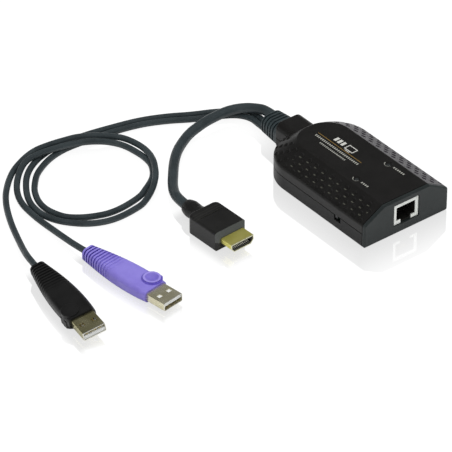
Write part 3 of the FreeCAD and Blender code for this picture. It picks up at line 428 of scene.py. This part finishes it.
# painted shade in the purple grip's grooves across its top, darkest at the rear and fading towards the
# front
ribGrooveShadeFacts = {"first": 1.6, "pitch": 1.95, "width": 0.9, "last": 21.6, "share": 0.95,
            "tint": tone(66, 48, 160)}
# rings of the dished button: radius in, radius out, share, colour; painted shade in the dish and in the
# groove round it, and a painted highlight on the rim
buttonShadeAndHighlight = {
    "across": 3.3, "along": 39.9, "above": 2.0,
    "rings": (
        (-1.0, 3.3, 0.45, tone(108, 92, 196)), (3.3, 4.4, 0.4, tone(178, 166, 240)),
        (4.4, 5.2, 0.75, tone(88, 72, 180)),
    ),
}


# painted shade and painted highlight on the purple grip
def purpleGripPaintedLight(spot, colour):
    across, along = alongPlug(spot, plugFacts["purple"])
    first, last, width = ribGrooveShadeFacts["first"], ribGrooveShadeFacts["last"], ribGrooveShadeFacts["width"]
    start = first - width / 2
    inRibGroove = ((along - start) % ribGrooveShadeFacts["pitch"]) < width
    fade = 1.0 - (along - first) / (last - first)
    ribGrooveShade = inRibGroove * along.between(start, last) * fade
    colour = (ribGrooveShade * ribGrooveShadeFacts["share"]).blend(colour, ribGrooveShadeFacts["tint"])
    reach = reachFrom((across, along), buttonShadeAndHighlight["across"], buttonShadeAndHighlight["along"])
    above = spot[2] > plugFacts["purple"]["axis"] + buttonShadeAndHighlight["above"]
    for inside, outside, share, tint in buttonShadeAndHighlight["rings"]:
        colour = (reach.between(inside, outside) * above * share).blend(colour, tint)
    return colour


gripFacts = {
    "lineFrom": 14.2, "linesLow": 14.1, "linesHigh": 18.2, "linePitch": 1.7, "line": 0.22,
    "lineShare": 0.8, "lineTint": tone(58, 58, 54), "roof": 4.6,
    "nose": 1.6, "noseHighlightShare": 0.9, "noseHighlight": tone(82, 85, 82),
}


def videoGripLinesAndHighlight(spot, colour):
    facts = plugFacts["video"]
    along = alongPlug(spot, facts)[1]
    # painted highlight: the grip's top at the nose is painted lighter
    nose = (along > facts["grip"] - gripFacts["nose"]) * (spot[2] > facts["axis"])
    lines = ((along - gripFacts["lineFrom"]) % gripFacts["linePitch"]) < gripFacts["line"]
    lines = lines * along.between(gripFacts["linesLow"], gripFacts["linesHigh"])
    lines = lines * (spot[2] > facts["axis"] + gripFacts["roof"])
    colour = (lines * gripFacts["lineShare"]).blend(colour, gripFacts["lineTint"])
    return (nose * gripFacts["noseHighlightShare"]).blend(colour, gripFacts["noseHighlight"])


# painted highlight: the last stretch of a plug's shell before its nose is painted near-white
def rimHighlight(kind, width, bright):
    def paint(spot, colour):
        along = alongPlug(spot, plugFacts[kind])[1]
        return (along > plugFacts[kind]["nose"] - width).blend(colour, bright)
    return paint


casePlastic = moulded("casePlastic", tone(21, 20, 19), tone(27, 26, 25), 0.34, marksAndPaintedLight=housingPrintAndPaintedLight,
                      shine=0.36)
lowerPlastic = moulded("lowerPlastic", tone(20, 20, 20), tone(26, 26, 26), 0.38, shine=0.32)
panelPlastic = moulded("panelPlastic", tone(31, 37, 37), tone(39, 45, 45), 0.4, shine=0.42)
grommetRubber = moulded("grommetRubber", tone(40, 49, 52), tone(54, 65, 68), 0.42,
                        grain=0.03, grainScale=1800.0)
leadVinyl = moulded("leadVinyl", tone(44, 52, 55), tone(55, 64, 67), 0.36, grainScale=1500.0)
blackGripPlastic = moulded("blackGripPlastic", tone(20, 20, 20), tone(27, 27, 27), 0.36,
                           grainScale=2200.0, shine=0.36)
purpleGripPlastic = moulded("purpleGripPlastic", tone(132, 118, 212), tone(146, 134, 224), 0.34,
                            grainScale=2200.0, marksAndPaintedLight=purpleGripPaintedLight)
videoGripPlastic = moulded("videoGripPlastic", tone(24, 24, 23), tone(31, 31, 30), 0.38,
                           grainScale=2000.0, marksAndPaintedLight=videoGripLinesAndHighlight, shine=0.4)
insertPlastic = moulded("insertPlastic", tone(24, 24, 22), tone(32, 32, 30), 0.35)
chipPlastic = moulded("chipPlastic", tone(20, 20, 22), tone(28, 28, 30), 0.55)
whiteCore = moulded("whiteCore", tone(226, 228, 226), tone(240, 241, 238), 0.4)
videoCorePlastic = moulded("videoCorePlastic", tone(34, 34, 30), tone(44, 44, 40), 0.5)
lampPlastic = moulded("lampPlastic", tone(206, 208, 204), tone(226, 228, 224), 0.4)
socketPlastic = moulded("socketPlastic", tone(216, 212, 200), tone(230, 227, 216), 0.5)
switchPlastic = moulded("switchPlastic", tone(40, 41, 42), tone(52, 53, 54), 0.4)
# painted highlight colour for the plugs' shell rims
rimHighlightTone = tone(240, 238, 226)
plugDrawn = (1.0, 0.06, 1.0)
plateDrawn = (1.0, 0.1, 1.0)
jackSteel = metal("jackSteel", tone(236, 240, 234), tone(250, 252, 248), 0.3, (1.0, 0.08, 1.0),
                  metallic=0.12)
# painted shade: the black plug's shell is a darker copy of the purple plug's steel
blackPlugShadedSteel = metal("blackPlugShadedSteel", tone(186, 180, 134), tone(220, 214, 172), 0.26,
                       plugDrawn, metallic=0.96,
                       marksAndPaintedLight=rimHighlight("black", 0.5, rimHighlightTone))
purplePlugSteel = metal("purplePlugSteel", tone(222, 216, 180), tone(244, 239, 210), 0.26,
                        plugDrawn, metallic=0.86,
                        marksAndPaintedLight=rimHighlight("purple", 0.5, rimHighlightTone))
screwSteel = metal("screwSteel", tone(150, 150, 152), tone(176, 176, 178), 0.38, (1.0, 1.0, 0.1))
videoShellGold = metal("videoShellGold", tone(218, 211, 108), tone(234, 227, 130), 0.32,
                       plugDrawn, metallic=0.76,
                       marksAndPaintedLight=rimHighlight("video", 0.45, tone(240, 238, 200)))
goldPlate = metal("goldPlate", tone(226, 206, 140), tone(244, 226, 168), 0.3, plateDrawn,
                  metallic=0.4)
# painted highlight: the video plug's contacts are near-white and barely metallic, so they read as bright
# ticks
tickHighlightPlate = metal("tickHighlightPlate", tone(240, 238, 222), tone(250, 248, 236), 0.3, plateDrawn,
                  metallic=0.05)


# the board's lacquer: slanted tracks that show through in places
def lacquer(name, dark, light, track):
    def paint(point):
        facts = lacquerFacts
        cloud = point.noise(*facts["cloud"])
        spot = point.axes()
        lanes = ((spot[0] + spot[1] * facts["slant"]) % facts["lanePitch"]) < facts["lane"]
        gate = point.noise(*facts["gate"]) > facts["gateFrom"]
        colour = cloud.rise(*facts["rise"]).blend(dark, light)
        colour = (lanes * gate * facts["laneShare"]).blend(colour, track)
        return {"Base Color": colour, "Roughness": cloud * facts["cloudShare"] + facts["roughness"],
                "Normal": (lanes * gate).bump(facts["relief"], facts["depth"])}
    return material(name, {"Coat Weight": lacquerFacts["coat"]}, paint)


boardLacquer = lacquer("boardLacquer", tone(18, 70, 44), tone(24, 84, 52), tone(46, 112, 66))


def glass(name, dark, light):
    def paint(point):
        facts = glassFacts
        cloud = point.noise(*facts["cloud"])
        return {"Base Color": cloud.rise(*facts["rise"]).blend(dark, light),
                "Roughness": cloud * facts["cloudShare"] + facts["roughness"]}
    return material(name, {"Transmission Weight": glassFacts["clear"], "IOR": glassFacts["index"]}, paint)


pipeClear = glass("pipeClear", tone(40, 43, 44), tone(62, 66, 66))

nodeMaterials = {
    "upper_shell": casePlastic, "lower_shell": lowerPlastic, "front_panel": panelPlastic,
    "housing_screws": screwSteel, "cable_grommet": grommetRubber, "jack_shield": jackSteel,
    "jack_insert": insertPlastic, "jack_contacts": goldPlate, "main_board": boardLacquer,
    "video_chip": chipPlastic, "network_chip": chipPlastic, "memory_chip": chipPlastic,
    "pulse_transformer": chipPlastic, "power_inductor": chipPlastic, "clock_crystal": jackSteel,
    "board_capacitors": jackSteel, "board_lamps": lampPlastic, "power_light_pipe": pipeClear,
    "link_light_pipe": pipeClear, "switch_body": chipPlastic, "switch_slider": switchPlastic,
    "video_lead_socket": socketPlastic, "data_lead_sockets": socketPlastic,
    "inner_leads": leadVinyl, "video_cable": leadVinyl, "black_data_cable": leadVinyl,
    "purple_data_cable": leadVinyl,
    "video_plug_grip": videoGripPlastic, "video_plug_shell": videoShellGold,
    "video_plug_core": videoCorePlastic, "video_plug_contacts": tickHighlightPlate,
    "black_plug_grip": blackGripPlastic, "black_plug_shell": blackPlugShadedSteel,
    "black_plug_core": whiteCore, "black_plug_contacts": goldPlate,
    "purple_plug_grip": purpleGripPlastic, "purple_plug_shell": purplePlugSteel,
    "purple_plug_core": whiteCore, "purple_plug_contacts": goldPlate,
}


def dress(thing, finish):
    thing.data.materials.clear()
    thing.data.materials.append(finish)


for name, thing in nodes.items():
    dress(thing, nodeMaterials[name])
for cord in (blackCord, purpleCord, videoCord):
    dress(cord, leadVinyl)
print("materials on")

# ---- floor, world and lamps: half and the lamps in metres, the floor's other lengths in millimetres
floorFacts = {
    "half": 3.0, "white": 0.88, "glow": 1.16, "colour": tone(243, 243, 243), "roughness": 0.5,
    "polishFar": 0.1, "polishMore": 0.2, "caseFade": 30.0, "caseSide": 26.5, "caseFront": 50.9,
    "caseBack": 30.0,
    "plugFade": 7.0, "plugSides": {"video": 9.5, "black": 7.4, "purple": 7.4},
}


def makeFloor(facts):
    half = facts["half"]
    mesh = bpy.data.meshes.new("floor")
    mesh.from_pydata([(-half, -half, 0), (half, -half, 0), (half, half, 0), (-half, half, 0)],
                     [], [(0, 1, 2, 3)])
    floor = bpy.data.objects.new("floor", mesh)
    scene.collection.objects.link(floor)
    made = bpy.data.materials.new("floorSheet")
    made.use_nodes = True
    tree = made.node_tree
    shader = tree.nodes["Principled BSDF"]
    shader.inputs["Base Color"].default_value = facts["colour"]
    shader.inputs["Roughness"].default_value = facts["roughness"]
    base = Field(tree)
    seen = base.add("ShaderNodeLightPath") * facts["white"]
    glow = base.add("ShaderNodeEmission", inputs={"Strength": facts["glow"]})
    both = base.add("ShaderNodeMixShader", inputs={0: seen, 2: glow})
    tree.links.new(shader.outputs[0], both.socket.node.inputs[1])
    mirror = base.add("ShaderNodeBsdfGlossy", inputs={"Roughness": 0.0})
    # the reflections fade away from the housing and from each plug
    spot = base.add("ShaderNodeTexCoord", output=ownPlace).axes()
    away = (spot[0].size() - facts["caseSide"]).most(-1.0 * spot[1] - facts["caseFront"])
    away = away.most(spot[1] - facts["caseBack"])
    near = 1.0 - away.rise(0.0, facts["caseFade"])
    for kind, side in facts["plugSides"].items():
        across, along = alongPlug(spot, plugFacts[kind])
        away = (across.size() - side).most(along - plugFacts[kind]["nose"]).most(-1.0 * along)
        near = near.most(1.0 - away.rise(0.0, facts["plugFade"]))
    polish = near * facts["polishMore"] + facts["polishFar"]
    sheet = base.add("ShaderNodeMixShader", inputs={0: polish, 1: both, 2: mirror})
    tree.links.new(sheet.socket, tree.nodes["Material Output"].inputs[0])
    mesh.materials.append(made)


makeFloor(floorFacts)

# brightness as plain light, and in reflections from above and from the horizon, with the heights
# between which the reflections fall off
worldFacts = {"plain": 0.5, "above": 0.14, "horizon": 0.95, "low": 0.02, "high": 0.22}


def makeWorld(facts):
    world = bpy.data.worlds.new("studio")
    world.use_nodes = True
    scene.world = world
    tree = world.node_tree
    base = Field(tree)
    height = base.add("ShaderNodeTexCoord").axes()[2] * mm
    fall = height.rise(facts["low"], facts["high"])
    glossy = facts["horizon"] + fall * (facts["above"] - facts["horizon"])
    rays = base.add("ShaderNodeLightPath").socket.node.outputs
    ray = {out.name: Field(tree, out) for out in rays}
    shiny = ray["Is Glossy Ray"]
    strength = shiny * glossy + (1 - shiny) * facts["plain"]
    # the polished floor mirrors the white backdrop too
    seen = ray["Is Camera Ray"].most(ray["Is Transmission Ray"]).most(ray["Is Singular Ray"])
    strength = seen.most(strength)
    tree.links.new(strength.socket, tree.nodes["Background"].inputs["Strength"])
    tree.nodes["Background"].inputs["Color"].default_value = (1.0, 1.0, 1.0, 1.0)


makeWorld(worldFacts)

lampAim = (-0.05, 0.0, 0.0)
# name, place, width, power
lampFacts = (
    ("overhead", (-0.1, 0.1, 1.5), 1.6, 11.0),
    ("leftSoft", (-1.2, -0.8, 1.1), 1.0, 5.0),
    ("rightSoft", (0.9, -0.9, 0.9), 0.9, 4.0),
)
for name, spot, width, power in lampFacts:
    light = bpy.data.lights.new(name, "AREA")
    light.shape = "SQUARE"
    light.size = width
    light.energy = power
    lamp = bpy.data.objects.new(name, light)
    scene.collection.objects.link(lamp)
    lamp.location = spot
    lamp.rotation_mode = "QUATERNION"
    lamp.rotation_quaternion = (Vector(lampAim) - Vector(spot)).to_track_quat("-Z", "Y")
    lamp.visible_glossy = False
print("studio lit")
